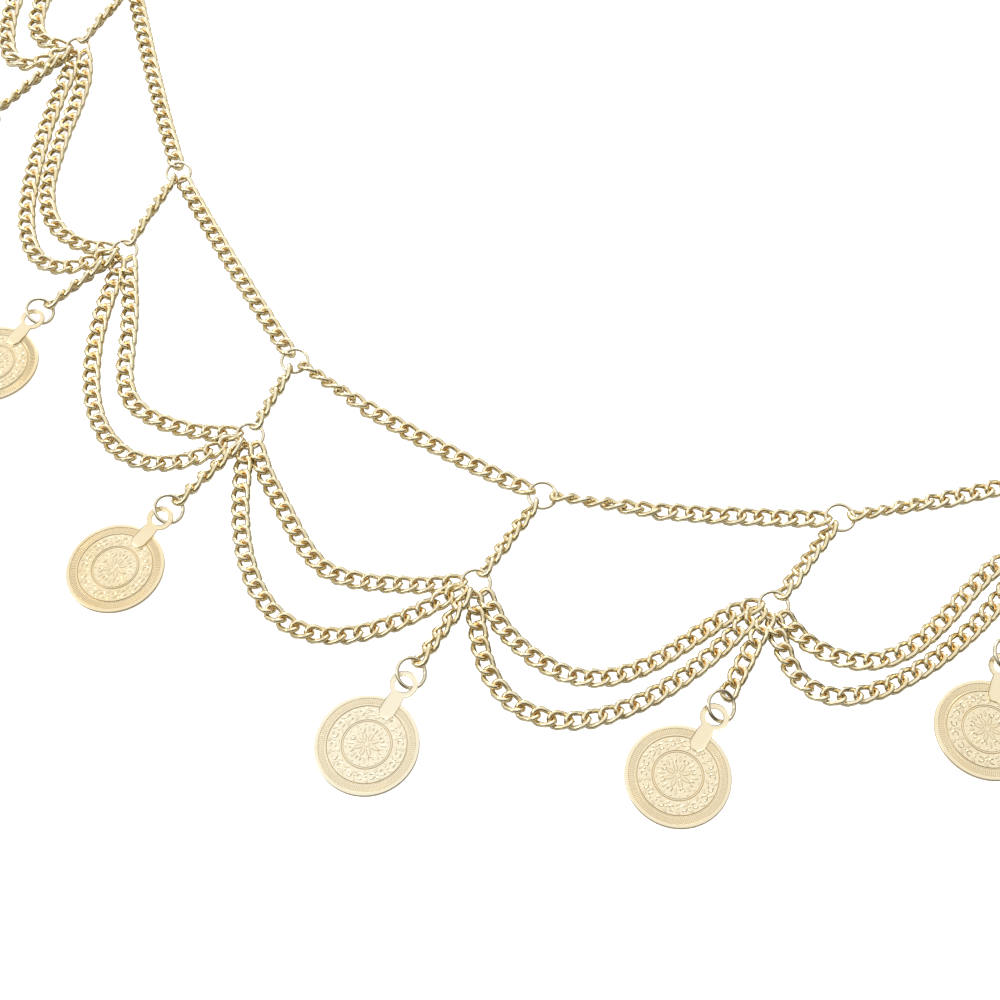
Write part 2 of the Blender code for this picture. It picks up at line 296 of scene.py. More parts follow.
def finish_edit(angle: float) -> Piece:
    """Leave edit mode with faces outward, and shade smooth up to an edge angle in degrees."""
    bpy.ops.mesh.select_all(action="SELECT")
    bpy.ops.mesh.normals_make_consistent(inside=False)
    bpy.ops.object.mode_set(mode="OBJECT")
    piece = bpy.context.view_layer.objects.active
    activate(piece)
    bpy.ops.object.shade_smooth_by_angle(angle=math.radians(angle))
    return piece


def write_attribute(piece: Piece, name: str, values: Sequence[float]) -> None:
    """Store one number for each vertex under a name that a material reads."""
    layer = piece.data.attributes.get(name) or piece.data.attributes.new(name, "FLOAT", "POINT")
    layer.data.foreach_set("value", list(values))


def mark(piece: Piece, hollow_shade: Sequence[float]) -> None:
    """Store how much painted shade each vertex carries, and put its colour halfway between face and pale."""
    write_attribute(piece, "hollow_shade", hollow_shade)
    write_attribute(piece, "tone_and_sheen", [0.5] * len(piece.data.vertices))


def duplicate(master: Piece, placement: Matrix) -> Piece:
    """Return a copy of a master with its own mesh, at a place."""
    piece = master.copy()
    piece.data = master.data.copy()
    piece.matrix_world = placement
    bpy.context.scene.collection.objects.link(piece)
    return piece


def copy_of(master: Piece, placement: Matrix) -> Piece:
    """Return a copy of a master, placed and brought to metres."""
    return duplicate(master, placement @ Matrix.Scale(MM, 4))


def settle(piece: Piece, name: str) -> Piece:
    """Put a piece's place into its mesh, so that its object sits at the origin, and name it."""
    activate(piece)
    bpy.ops.object.transform_apply(location=True, rotation=True, scale=True)
    piece.name = name
    piece.data.name = name
    return piece


def join(parts: Sequence[Piece]) -> Piece:
    """Join objects into the first one."""
    activate(parts[0])
    for part in parts[1:]:
        part.select_set(True)
    bpy.ops.object.join()
    return parts[0]


def discard(master: Piece) -> None:
    """Remove a master once its copies are made."""
    bpy.data.objects.remove(master)


class NodeBoard:
    """A node tree, with short calls to add and join nodes."""

    def __init__(self, owner: bpy.types.Material | bpy.types.World, shader: str = "Principled BSDF") -> None:
        """Start from a new material or world, with its bare shader."""
        owner.use_nodes = True
        self.owner = owner
        self.tree = owner.node_tree
        self.shader = self.tree.nodes[shader]

    def add(self, kind: str, **settings: object) -> bpy.types.Node:
        """Add a node.

        Args:
            kind: the node's type name, without its ShaderNode prefix.
            settings: properties to set on it.

        Returns:
            The node.
        """
        node = self.tree.nodes.new("ShaderNode" + kind)
        for key, value in settings.items():
            setattr(node, key, value)
        return node

    def join(self, source: Socket, target: Socket) -> None:
        """Link an output to an input."""
        self.tree.links.new(source, target)

    def noise(self, scale: float, detail: float, distortion: float = 0.0) -> Socket:
        """Return a noise value that runs over object coordinates, in turns per metre."""
        place = self.add("TexCoord")
        node = self.add("TexNoise")
        node.inputs["Scale"].default_value = scale
        node.inputs["Detail"].default_value = detail
        node.inputs["Distortion"].default_value = distortion
        self.join(place.outputs["Object"], node.inputs["Vector"])
        return node.outputs["Fac"]

    def spread(self, value: Socket, low: float, high: float,
               from_low: float = 0.0, from_high: float = 1.0) -> Socket:
        """Return a value brought from one range to another."""
        node = self.add("MapRange")
        self.join(value, node.inputs["Value"])
        node.inputs["From Min"].default_value = from_low
        node.inputs["From Max"].default_value = from_high
        node.inputs["To Min"].default_value = low
        node.inputs["To Max"].default_value = high
        return node.outputs["Result"]

    def blend(self, amount: Socket, first: object, second: object) -> Socket:
        """Return a colour between two, each a colour or an output."""
        node = self.add("Mix", data_type="RGBA")
        self.join(amount, node.inputs["Factor"])
        colour_inputs = [socket for socket in node.inputs if socket.type == "RGBA"]
        for source, socket in zip((first, second), colour_inputs):
            if isinstance(source, Socket):
                self.join(source, socket)
            else:
                socket.default_value = (*source, 1.0)
        return next(socket for socket in node.outputs if socket.type == "RGBA")

    def attribute(self, name: str) -> Socket:
        """Return a stored vertex value."""
        return self.add("Attribute", attribute_name=name).outputs["Fac"]

    def bump(self, height: Socket, strength: float, distance: float) -> None:
        """Raise the surface by a height."""
        node = self.add("Bump")
        node.inputs["Strength"].default_value = strength
        node.inputs["Distance"].default_value = distance
        self.join(height, node.inputs["Height"])
        self.join(node.outputs["Normal"], self.shader.inputs["Normal"])


@dataclass(frozen=True)
class GoldFinish:
    """One gold plating: its colours, the colour of its painted shade, its polish and the marks of wear on
    it.
    """

    name: str
    face: Colour
    pale: Colour
    hollow_shade: Colour
    smooth: float
    rough: float
    wear_scale: float
    grain_scale: float
    grain: float
    grain_depth: float

    def make(self) -> bpy.types.Material:
        """Return the plating as a node material."""
        board = NodeBoard(bpy.data.materials.new(self.name))
        wear = board.noise(self.wear_scale, 4.0, 0.4)
        cloud = board.spread(wear, 0.0, 1.0, 0.32, 0.68)
        # The stored value moves the colour from face to pale: a random tone on each link, painted sheen on
        # each coin.
        tone_and_sheen = board.attribute("tone_and_sheen")
        shaded = board.blend(tone_and_sheen, self.face, self.pale)
        worn = board.blend(board.spread(cloud, 0.0, 0.45), shaded, self.pale)
        # Painted shade: where a vertex stores shade, the colour turns towards the darker shade colour.
        coloured = board.blend(board.attribute("hollow_shade"), worn, self.hollow_shade)
        board.join(coloured, board.shader.inputs["Base Color"])
        board.shader.inputs["Metallic"].default_value = 1.0
        board.join(board.spread(cloud, self.smooth, self.rough), board.shader.inputs["Roughness"])
        board.bump(board.noise(self.grain_scale, 6.0), self.grain, self.grain_depth * MM)
        return board.owner


# The third colour of each plating is painted shade, for the inner sides of links and rings and the grooves
# and outlines on the coins.
CHAIN_GOLD = GoldFinish(
    name="chain_gold_plating", face=(0.93, 0.79, 0.47), pale=(0.97, 0.88, 0.63), hollow_shade=(0.83, 0.57, 0.26),
    smooth=0.10, rough=0.22, wear_scale=420.0, grain_scale=5200.0, grain=0.06, grain_depth=0.02)
RING_GOLD = GoldFinish(
    name="ring_gold_plating", face=(0.86, 0.76, 0.54), pale=(0.93, 0.87, 0.70), hollow_shade=(0.50, 0.36, 0.16),
    smooth=0.09, rough=0.18, wear_scale=500.0, grain_scale=4000.0, grain=0.05, grain_depth=0.02)
COIN_GOLD = GoldFinish(
    name="coin_gold_plating", face=(0.94, 0.78, 0.48), pale=(0.98, 0.90, 0.70), hollow_shade=(0.50, 0.34, 0.15),
    smooth=0.24, rough=0.34, wear_scale=160.0, grain_scale=2600.0, grain=0.12, grain_depth=0.02)
HOOK_GOLD = GoldFinish(
    name="hook_gold_plating", face=(0.93, 0.80, 0.50), pale=(0.97, 0.89, 0.66), hollow_shade=(0.62, 0.40, 0.16),
    smooth=0.12, rough=0.24, wear_scale=400.0, grain_scale=4200.0, grain=0.06, grain_depth=0.02)


@dataclass
class Finishes:
    """The four platings, made once and shared."""

    made: dict[Slot, bpy.types.Material] = field(default_factory=dict)

    def __post_init__(self) -> None:
        """Make each plating."""
        recipes = {Slot.CHAIN: CHAIN_GOLD, Slot.RING: RING_GOLD, Slot.COIN: COIN_GOLD, Slot.HOOK: HOOK_GOLD}
        for slot, recipe in recipes.items():
            self.made[slot] = recipe.make()

    def dress(self, piece: Piece, slot: Slot, body: str, *nodes: str) -> None:
        """Give a piece its plating, and say which body it rides on and which nodes it replaces."""
        piece.data.materials.clear()
        piece.data.materials.append(self.made[slot])
        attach(piece, body)
        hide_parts(*nodes)
        LOG.info("%s: %d faces, for %s", piece.name, len(piece.data.polygons), ", ".join(nodes))


@dataclass
class CurbLink:
    """One link of curb chain: an oval of wire, twisted so that it lies in the next."""

    length: float = 4.95
    width: float = 3.65
    wire: float = 1.0
    twist: float = -94.0
    bend_steps: int = 6
    sides: int = 6
    shade_from: float = 0.4

    def model(self) -> Piece:
        """Model the link: wire bent around two ends, closed, and twisted along its length."""
        straight, bend = (self.length - self.width) / 2, (self.width - self.wire) / 2
        link = start_circle(self.sides, self.wire / 2, (straight, -bend, 0.0), (0.0, QUARTER_TURN, 0.0),
                            fill="NOTHING")
        for x in (straight, -straight):
            bend_round((x, 0.0, 0.0), 180.0, self.bend_steps)
            draw_out(-2.0 * x)
        weld(0.02)
        finish_edit(180.0)
        self.paint_inner_shade(link, bend)
        turn = link.modifiers.new("twist", "SIMPLE_DEFORM")
        turn.deform_method = "TWIST"
        turn.deform_axis = "X"
        turn.angle = math.radians(self.twist)
        bpy.ops.object.modifier_apply(modifier="twist")
        return link

    def paint_inner_shade(self, link: Piece, bend: float) -> None:
        """Paint shade on the wire's inward side, where the next link shades it.

        Args:
            link: the link before its twist.
            bend: the radius of the wire's middle line around an end.
        """
        straight = (self.length - self.width) / 2
        # Painted shade: highest on the inner side of the wire near the link's ends, where the plating turns
        # darker and orange.
        values = []
        for vertex in link.data.vertices:
            x, y = vertex.co.x, vertex.co.y
            spine_x = max(-straight, min(straight, x))
            out = math.hypot(x - spine_x, y)
            inward = max(0.0, min(1.0, (bend - out) / (self.wire / 2)))
            near_end = max(0.0, min(1.0, (abs(x) - straight * self.shade_from) / bend))
            values.append(inward * near_end)
        mark(link, values)


@dataclass
class LinkPose:
    """Where one link lies: its middle, the way the chain runs, how far it stands up, and its stretch.

    A stretched link grows half as much across as along.
    """

    middle: Vector
    way: Vector
    roll: float
    stretch: float

    def placement(self) -> Matrix:
        """Return the link's place in the frame."""
        side = Vector((-self.way.y, self.way.x, 0.0)).normalized()
        up = self.way.cross(side).normalized()
        broad = side * math.cos(self.roll) + up * math.sin(self.roll)
        thin = self.way.cross(broad)
        girth = (1.0 + self.stretch) / 2.0
        turn = Matrix((self.way * self.stretch, broad * girth, thin * girth)).transposed()
        return Matrix.Translation(to_frame(self.middle)) @ turn.to_4x4()


@dataclass
class ChainLength:
    """One length of curb chain along a route, through a ring at each end."""

    route: list[Vector]
    turned_start: float
    turned_end: float
    seed: int
    edge_roll: float = 50.0
    turning_links: float = 2.6
    loose_roll: float = 4.0
    loose_yaw: float = 2.5
    link_pitch: float = 2.95

    def stations(self) -> list[tuple[Vector, float]]:
        """Return the middle and the stretch of each link, spaced along the route at the local pitch."""
        counts = [0.0]
        for a, b in zip(self.route, self.route[1:]):
            counts.append(counts[-1] + (b - a).length / PITCH.at((a.y + b.y) / 2))
        links = max(1, round(counts[-1]))
        found, piece = [], 0
        for link in range(links):
            goal = counts[-1] * (link + 0.5) / links
            while piece < len(self.route) - 2 and counts[piece + 1] < goal:
                piece += 1
            a, b = self.route[piece], self.route[piece + 1]
            middle = a.lerp(b, (goal - counts[piece]) / (counts[piece + 1] - counts[piece]))
            found.append((middle, PITCH.at(middle.y) * counts[-1] / links / self.link_pitch))
        return found

    def roll_at(self, link: int, links: int) -> float:
        """Return how far a link stands up, in radians, from the full lean at a ring to 0 lying flat."""
        from_start = link + 0.5 - self.turned_start
        from_end = links - 0.5 - link - self.turned_end
        ease = min(1.0, max(0.0, min(from_start, from_end) / self.turning_links))
        return math.radians(self.edge_roll) * (1.0 - ease * ease * (3.0 - 2.0 * ease))

    def poses(self) -> list[LinkPose]:
        """Return where each link lies, a little loose as real links are."""
        draw = random.Random(self.seed)
        middles, stretches = zip(*self.stations())
        links = len(middles)
        rolls = [self.roll_at(i, links) for i in range(links)]
        poses = []
        for i, (middle, roll, stretch) in enumerate(zip(middles, rolls, stretches)):
            before, after = middles[max(0, i - 1)], middles[min(links - 1, i + 1)]
            way = (after - before).normalized()
            way.rotate(Euler((0.0, 0.0, math.radians(draw.gauss(0.0, self.loose_yaw)))))
            loose = math.radians(draw.gauss(0.0, self.loose_roll))
            poses.append(LinkPose(middle, way, roll + loose, stretch))
        return poses

    def build(self, link: Piece) -> list[Piece]:
        """Return a copy of the link at each place, lying on the table, each with its own random colour
        between face and pale.
        """
        draw = random.Random(self.seed + 1000)
        copies = []
        for pose in self.poses():
            copy = copy_of(link, pose.placement())
            copy.location.z -= min((copy.matrix_world @ vertex.co).z for vertex in copy.data.vertices)
            write_attribute(copy, "tone_and_sheen", [draw.random()] * len(copy.data.vertices))
            copies.append(copy)
        return copies


@dataclass
class Routes:
    """The routes of all the chain, from ring to ring. Link ends reach into the rings."""

    reach: float = 2.3
    outer_leave: float = -17.0
    inner_leave: float = 22.0
    inner_arrive: float = -20.0
    outer_arrive: float = 10.0
    blend_length: float = 5.5
    blend_steps: int = 12
    steps: int = 96

    def cubic(self, a: Vector, b: Vector, c: Vector, d: Vector, steps: int) -> list[Vector]:
        """Return points along a curve from a to d that leaves towards b and arrives from c."""
        points = []
        for i in range(steps + 1):
            t = i / steps
            u = 1.0 - t
            points.append(a * u ** 3 + b * (3 * u * u * t) + c * (3 * u * t * t) + d * t ** 3)
        return points

    def straight(self, start: Place, end: Place, bow: float) -> list[Vector]:
        """Return a route from ring to ring that bows to the right of its way by this much."""
        way, length = bearing(start, end), (flat(end) - flat(start)).length
        lean = math.degrees(4.0 * bow / length)
        first = flat(start) + polar(way - lean, self.reach)
        last = flat(end) + polar(way + 180.0 + lean, self.reach)
        pull = (last - first).length / 3.0
        return self.cubic(first, first + polar(way - lean, pull),
                          last + polar(way + 180.0 + lean, pull), last, self.steps)

    def lead(self, start: Place, heading: float, side: int, past_end: float) -> list[Vector]:
        """Return an arc that starts in a ring and turns left for side 1 or right for side -1."""
        centre = flat(start) + polar(heading + 90.0 * side, LEAD_RADIUS)
        begin = heading - 90.0 * side
        first = math.degrees(self.reach / LEAD_RADIUS)
        last = math.degrees((RING_REACH + LEAD_LENGTH + past_end) / LEAD_RADIUS)
        turns = [first + (last - first) * i / self.steps for i in range(self.steps + 1)]
        return [centre + polar(begin + side * turn, LEAD_RADIUS) for turn in turns]

    def swag(self, left: Unit, right: Unit, lane: Lane, side: Side) -> list[Vector]:
        """Return one swag's route, from its place in the left ring to its place in the right ring."""
        leave = bearing(left.swag, left.coin) + STEM_OFF_COIN_CHAIN
        arrive = bearing(right.swag, right.coin) - STEM_OFF_COIN_CHAIN
        reach, offset = RING_REACH + STEM_LENGTH, side.value * STEM_HALF_WIDTH / 2
        first = flat(left.swag) + polar(leave, reach) + polar(leave + 90.0, offset)
        last = flat(right.swag) + polar(arrive, reach) + polar(arrive - 90.0, offset)
        middle = self.cubic(first, first + polar(leave + lane.leave_turn, lane.leave_pull),
                            last + polar(arrive + lane.arrive_turn, lane.arrive_pull), last, self.steps)
        inner = side is Side.INNER
        out = leave + (self.inner_leave if inner else self.outer_leave)
        back = arrive + (self.inner_arrive if inner else self.outer_arrive)
        middle = self.into_ring(middle, flat(left.swag), out)
        return self.into_ring(middle[::-1], flat(right.swag), back)[::-1]

    def into_ring(self, route: list[Vector], ring: Vector, out: float) -> list[Vector]:
        """Replace the first stretch of a route with one that starts inside a ring.

        Args:
            route: the points of the swag.
            ring: the middle of the ring.
            out: the bearing at which the swag leaves the ring.

        Returns:
            The whole route, from inside the ring.
        """
        walked, index = 0.0, 0
        while walked < self.blend_length:
            walked += (route[index + 1] - route[index]).length
            index += 1
        start, end = ring + polar(out, self.reach), route[index]
        way = (route[index + 1] - route[index]).normalized()
        pull = (end - start).length / 3.0
        return self.cubic(start, start + polar(out, pull), end - way * pull, end,
                          self.blend_steps) + route[index + 1:]


@dataclass
class JumpRing:
    """A round wire ring with a cut where it was closed."""

    diameter: float = RING_DIAMETER
    wire: float = RING_WIRE
    cut: float = 1.6
    steps: int = 40
    sides: int = 10
    inner_shade_from: float = 0.6

    def model(self) -> Piece:
        """Model the ring about the origin, lying level, with its cut at the x axis."""
        radius = (self.diameter - self.wire) / 2
        ring = start_circle(self.sides, self.wire / 2, (radius, 0.0, 0.0), (QUARTER_TURN, 0.0, 0.0))
        bend_round((0.0, 0.0, 0.0), 360.0 - self.cut, self.steps)
        weld()
        finish_edit(50.0)
        # Painted shade: the inner side of the wire is coloured darker, beyond this far in.
        inner, outer = radius - self.wire / 2, radius + self.wire / 2
        values = [(outer - vertex.co.xy.length) / (outer - inner) for vertex in ring.data.vertices]
        mark(ring, [max(0.0, value - self.inner_shade_from) for value in values])
        return ring


@dataclass
class Rings:
    """All the jump rings, level where chains pull on them and tilted where a coin hangs."""

    level_height: float = 1.42
    level_tilt: float = 8.0
    coin_tilt: float = -30.0
    top_cut: float = 100.0
    swag_cut: float = -110.0
    coin_cut: float = 120.0

    def place(self, master: Piece, name: str, centre: Place, height: float, tilt: float,
              turn: float, cut_at: float) -> Piece:
        """Return a ring at its place.

        Args:
            master: the ring to copy.
            name: the new piece's name.
            centre: the ring's middle on the table.
            height: how high the middle is.
            tilt: the tilt about the ring's own x axis, in degrees.
            turn: the bearing of that axis.
            cut_at: how far round from that axis the cut is.

        Returns:
            The finished ring.
        """
        turned = Euler((math.radians(tilt), 0.0, math.radians(turn))).to_matrix().to_4x4()
        spun = Matrix.Rotation(math.radians(cut_at), 4, "Z")
        centre_point = Vector((centre[0], centre[1], height))
        ring = copy_of(master, Matrix.Translation(to_frame(centre_point)) @ turned @ spun)
        return settle(ring, name)

    def build(self, finishes: Finishes) -> None:
        """Build the three rings of each coin drop."""
        master = JumpRing().model()
        for unit in UNITS:
            way_down = bearing(unit.top, unit.swag)
            top = self.place(master, f"jump_ring_top_{unit.name}", unit.top, self.level_height,
                             self.level_tilt, 0.0, way_down + self.top_cut)
            finishes.dress(top, Slot.RING, "chain", f"ring_top_{unit.name}")
            way_out = bearing(unit.swag, unit.coin)
            swag = self.place(master, f"jump_ring_swag_{unit.name}", unit.swag, self.level_height,
                              self.level_tilt, 0.0, way_out + self.swag_cut)
            finishes.dress(swag, Slot.RING, "chain", f"ring_swag_{unit.name}")
            coin = self.place(master, f"jump_ring_coin_{unit.name}", unit.coin, EYE_HEIGHT, self.coin_tilt,
                              unit.coin_bearing, self.coin_cut)
            finishes.dress(coin, Slot.RING, "chain", f"ring_coin_{unit.name}")
        discard(master)


@dataclass
class Motif:
    """The small raised shapes that are struck on the coin, each about a millimetre across."""

    sides: int = 10
    sunk: float = 0.1
    clear: float = 0.01
    curl_radius: float = 0.39
    outline_shade: float = 0.8
    ridge_shade: float = 0.55

    def finish(self, crease: float) -> Piece:
        """Finish a shape, and paint shade on its outline, where it meets the coin's face."""
        return self.darken(finish_edit(crease), self.sunk + self.clear, self.outline_shade)

    def darken(self, shape: Piece, below: float, shade: float) -> Piece:
        """Paint shade on the vertices below a height, and return the shape."""
        write_attribute(shape, "hollow_shade", [shade * (vertex.co.z < below) for vertex in shape.data.vertices])
        return shape

    def leaf(self) -> Piece:
        """Model a pointed leaf with a raised rib, along the x axis."""
        start_circle(self.sides, 0.5)
        bpy.ops.transform.resize(value=(1.0, 0.46, 1.0))
        draw_out(0.0, self.sunk)
        bpy.ops.mesh.inset(thickness=0.09, depth=0.055)
        bpy.ops.transform.resize(value=(1.0, 0.5, 1.0))
        return self.finish(25.0)

    def bead(self) -> Piece:
        """Model a round bead, domed on top."""
        start_circle(self.sides, 0.5)
        draw_out(0.0, self.sunk)
        bpy.ops.mesh.inset(thickness=0.16, depth=0.05)
        bpy.ops.mesh.inset(thickness=0.16, depth=0.02)
        return self.finish(30.0)

    def curl(self) -> Piece:
        """Model a curl: a ridge bent most of the way around, open towards the x axis."""
        place = (self.curl_radius, 0.0, self.sunk)
        start_circle(4, 0.11, place, (QUARTER_TURN, 0.0, 0.0))
        bpy.ops.transform.resize(value=(1.0, 1.0, 0.6), center_override=place)
        bpy.ops.transform.rotate(value=math.radians(-55.0), orient_axis="Z", center_override=(0.0, 0.0, 0.0))
        bend_round((0.0, 0.0, 0.0), 250.0, 10)
        weld()
        return self.finish(20.0)

    def ridge(self) -> Piece:
        """Model one ridge of the reeding, one millimetre long and wide, with a narrower top."""
        deselect()
        bpy.ops.mesh.primitive_plane_add(size=1.0)
        edit_all()
        draw_out(0.0, self.sunk - self.clear)
        bpy.ops.transform.resize(value=(0.92, 0.5, 1.0))
        return self.darken(finish_edit(20.0), self.clear, self.ridge_shade)


@dataclass
class StruckCoin:
    """A struck disc: a plain rim, a reeded band, two raised circles and leaves, with a soldered tab."""

    radius: float = COIN_DIAMETER / 2
    divisions: int = 96
    ridges: int = 144
    band_middle: float = 7.78
    ridge_length: float = 0.95
    ridge_width: float = 0.24
    rim_rise: float = 0.09
    groove: float = 0.09
    groove_shade: float = 0.7
    band_shade: float = 0.06
    shade_clear: float = 0.2
    band_leaves: int = 18
    petals: int = 8
    tab_divisions: int = 24
    neck_angle: float = 30.0
    stem_start: float = 3.4
    stem_half_width: float = 1.4
    tab_shoulder: float = 5.95
    tab_tip: float = 7.0
    tab_tip_half_width: float = 0.75
    tab_edge: float = 0.05

    @property
    def face_height(self) -> float:
        """Return the height of the coin's front face, from the middle of the eye."""
        return TAB_SINK - TAB_THICKNESS / 2

    def disc(self) -> Piece:
        """Model the disc, with the same rim, reeding and circles on both faces."""
        half = COIN_THICKNESS / 2
        disc = start_circle(self.divisions, self.radius)
        deep = self.groove
        draw_out(0.0, half - self.rim_rise)
        # Each step's width inward and its rise: rim, reeded band, then the two raised circles
        profile = ((0.05, 0.06), (0.07, 0.03), (0.52, 0.0), (0.07, -deep), (1.16, 0.0), (0.05, deep),
                   (0.10, 0.0), (0.09, -deep), (0.09, deep), (2.36, 0.0), (0.08, -deep), (0.08, deep),
                   (0.16, 0.0), (0.06, -deep * 0.7), (0.06, deep * 0.7))
        for thickness, depth in profile:
            bpy.ops.mesh.inset(thickness=thickness, depth=depth)
        bpy.ops.object.mode_set(mode="OBJECT")
        # Painted shade: vertices sunk in the grooves are coloured darker, and those of the reeded band only
        # faintly.
        dark = []
        for vertex in disc.data.vertices:
            out = vertex.co.xy.length
            low = vertex.co.z < half - deep / 2 and out < self.radius - self.shade_clear
            in_band = abs(out - self.band_middle) < self.ridge_length / 2 + self.shade_clear
            dark.append((self.band_shade if in_band else self.groove_shade) * low)
        write_attribute(disc, "hollow_shade", dark)
        ridge = Motif().ridge()
        disc = join([disc, *self.scatter(ridge, [
            Spot(self.band_middle, i * 360.0 / self.ridges, 0.0, self.ridge_length, self.ridge_width)
            for i in range(self.ridges)])])
        discard(ridge)
        activate(disc)
        mirror = disc.modifiers.new("back", "MIRROR")
        mirror.use_axis = (False, False, True)
        mirror.merge_threshold = 0.002
        bpy.ops.object.modifier_apply(modifier="back")
        bpy.ops.object.mode_set(mode="EDIT")
        return finish_edit(32.0)

    def scatter(self, motif: Piece, spots: Sequence[Spot]) -> list[Piece]:
        """Return a copy of a motif at each of these places on the face."""
        copies = []
        for out, at, turn, length, breadth in spots:
            place = polar(at, out)
            stretch = Matrix.Diagonal((length, breadth, 1.0, 1.0))
            copies.append(duplicate(motif, (
                Matrix.Translation((place.x, place.y, COIN_THICKNESS / 2 - self.groove))
                @ Matrix.Rotation(math.radians(at + turn), 4, "Z") @ stretch)))
        return copies

    def motifs(self) -> list[Piece]:
        """Return the scrolls, leaves and beads of the band, and the rosette in the middle."""
        leaf, bead, curl = Motif().leaf(), Motif().bead(), Motif().curl()
        step = 360.0 / self.band_leaves
        leaves, beads, curls = [], [], []
        for i in range(self.band_leaves):
            at = i * step
            curls.append(Spot(5.72, at, 90.0 if i % 2 else -90.0, 1.3, 1.15))
            leaves.append(Spot(6.35, at + step * 0.5, 50.0, 0.95, 1.05))
            leaves.append(Spot(4.98, at + step * 0.5, 128.0, 0.9, 1.0))
            beads.append(Spot(5.66, at + step * 0.5, 0.0, 0.38, 0.38))
        for i in range(self.petals):
            at = i * 360.0 / self.petals
            leaves.append(Spot(1.45, at, 0.0, 1.6, 1.7))
            curls.append(Spot(2.75, at, 0.0, 1.15, 1.0))
            leaves.append(Spot(2.85, at + 180.0 / self.petals, 0.0, 1.25, 0.9))
            beads.append(Spot(3.62, at + 11.0, 0.0, 0.3, 0.3))
            beads.append(Spot(3.62, at - 11.0, 0.0, 0.3, 0.3))
        beads.append(Spot(0.0, 0.0, 0.0, 1.1, 1.1))
        struck = self.scatter(leaf, leaves) + self.scatter(bead, beads) + self.scatter(curl, curls)
        for master in (leaf, bead, curl):
            discard(master)
        return struck

    def tab(self) -> Piece:
        """Model the tab: a flat eye, a stem and a tip with its corners cut off."""
        outer, angle = EYE_OUTER / 2, math.radians(self.neck_angle)
        half, reached = outer * math.sin(angle), outer * math.cos(angle / 2)
        tab = start_circle(self.tab_divisions, outer, fill="NOTHING")
        bpy.ops.mesh.primitive_circle_add(vertices=self.tab_divisions, radius=EYE_HOLE / 2)
        bpy.ops.mesh.select_all(action="SELECT")
        bpy.ops.mesh.bridge_edge_loops()
        bpy.ops.object.mode_set(mode="OBJECT")
        chosen = [vertex.co.length > outer - 0.05 and vertex.co.x > 0.0 and abs(vertex.co.y) < half + 0.05
                  for vertex in tab.data.vertices]
        joined = [all(chosen[i] for i in edge.vertices) for edge in tab.data.edges]
        tab.data.vertices.foreach_set("select", chosen)
        tab.data.edges.foreach_set("select", joined)
        tab.data.polygons.foreach_set("select", [False] * len(tab.data.polygons))
        bpy.ops.object.mode_set(mode="EDIT")
        bpy.ops.mesh.select_mode(type="EDGE")
        stages = ((self.stem_start, self.stem_half_width), (self.tab_shoulder, self.stem_half_width),
                  (self.tab_tip, self.tab_tip_half_width))
        for x, half_width in stages:
            draw_out(x - reached)
            bpy.ops.transform.resize(value=(0.0, half_width / half, 1.0), center_override=(x, 0.0, 0.0))
            reached, half = x, half_width
        bpy.ops.mesh.select_mode(type="FACE")
        bpy.ops.mesh.select_all(action="SELECT")
        draw_out(0.0, TAB_THICKNESS - 2 * self.tab_edge)
        bpy.ops.mesh.inset(thickness=self.tab_edge, depth=self.tab_edge * 1.3)
        bpy.ops.mesh.inset(thickness=self.tab_edge * 2, depth=self.tab_edge * 0.7)
        bpy.ops.mesh.select_all(action="SELECT")
        bpy.ops.transform.translate(value=(0.0, 0.0, -TAB_THICKNESS / 2))
        return finish_edit(35.0)

    def model(self) -> Piece:
        """Model the whole coin, with the middle of the eye at the origin and the coin along x."""
        struck = [self.disc(), *self.motifs()]
        coin = join(struck)
        coin.location = (EYE_TO_COIN, 0.0, self.face_height - COIN_THICKNESS / 2)
        bpy.ops.object.transform_apply(location=True, rotation=True, scale=True)
        return join([coin, self.tab()])


@dataclass
class Coins:
    """The seven coins, each with its eye around its ring and its far rim on the table."""

    # Painted sheen: each coin's colour is set paler or darker on its own, to stand in for the light its face
    # catches.
    painted_sheen_tones: tuple[float, ...] = (0.3, 0.3, 0.1, 0.1, 0.95, 0.5, 0.35)

    def lean(self) -> float:
        """Return the angle at which a coin leans from its eye down to the table, in radians."""
        below = TAB_THICKNESS / 2 - TAB_SINK + COIN_THICKNESS
        return math.asin((EYE_HEIGHT - below) / (EYE_TO_COIN + COIN_DIAMETER / 2))

    def build(self, finishes: Finishes) -> None:
        """Build and dress each coin on the body that swings with it."""
        master = StruckCoin().model()
        for unit, tone_and_sheen in zip(UNITS, self.painted_sheen_tones):
            eye = flat(unit.coin) + polar(unit.coin_bearing, EYE_TO_RING)
            eye.z = EYE_HEIGHT
            turned = Euler((0.0, self.lean(), math.radians(unit.coin_bearing))).to_matrix().to_4x4()
            coin = copy_of(master, Matrix.Translation(to_frame(eye)) @ turned)
            write_attribute(coin, "tone_and_sheen", [tone_and_sheen] * len(coin.data.vertices))
            settle(coin, f"struck_coin_{unit.name}")
            finishes.dress(coin, Slot.COIN, f"coin_{unit.name}_body", f"coin_{unit.name}")
        discard(master)


